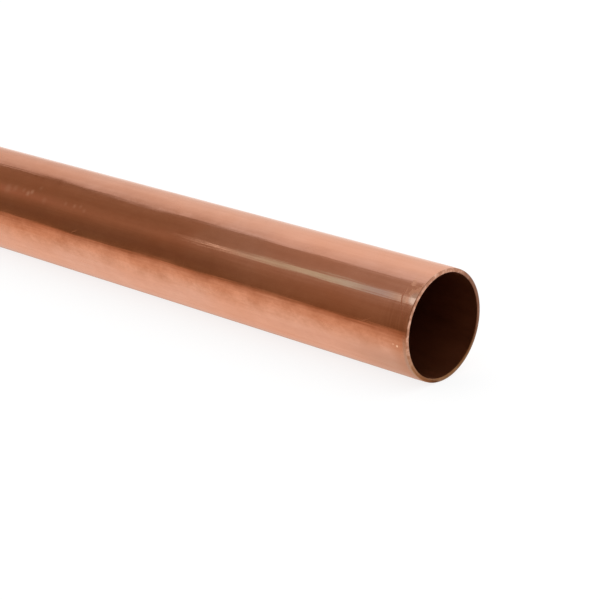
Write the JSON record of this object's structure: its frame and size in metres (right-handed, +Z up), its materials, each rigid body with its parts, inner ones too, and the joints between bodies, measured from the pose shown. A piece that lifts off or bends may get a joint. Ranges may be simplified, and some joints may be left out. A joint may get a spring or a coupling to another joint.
{
  "type": "copper pipe",
  "caption": "Straight length of hard-drawn copper tube, round and open right through, with square wheel-cut ends, for soldered or compression plumbing joints.",
  "frame": {"origin": "on the floor under the middle of the pipe, halfway between the two cuts", "axes": "+X along the pipe towards the end that the picture shows, +Z up, +Y level across the pipe"},
  "size_m": [1, 0.028, 0.028],
  "materials": {
    "copper": null
  },
  "bodies": {
    "root": {"copper_pipe": "copper"}
  },
  "joints": []
}
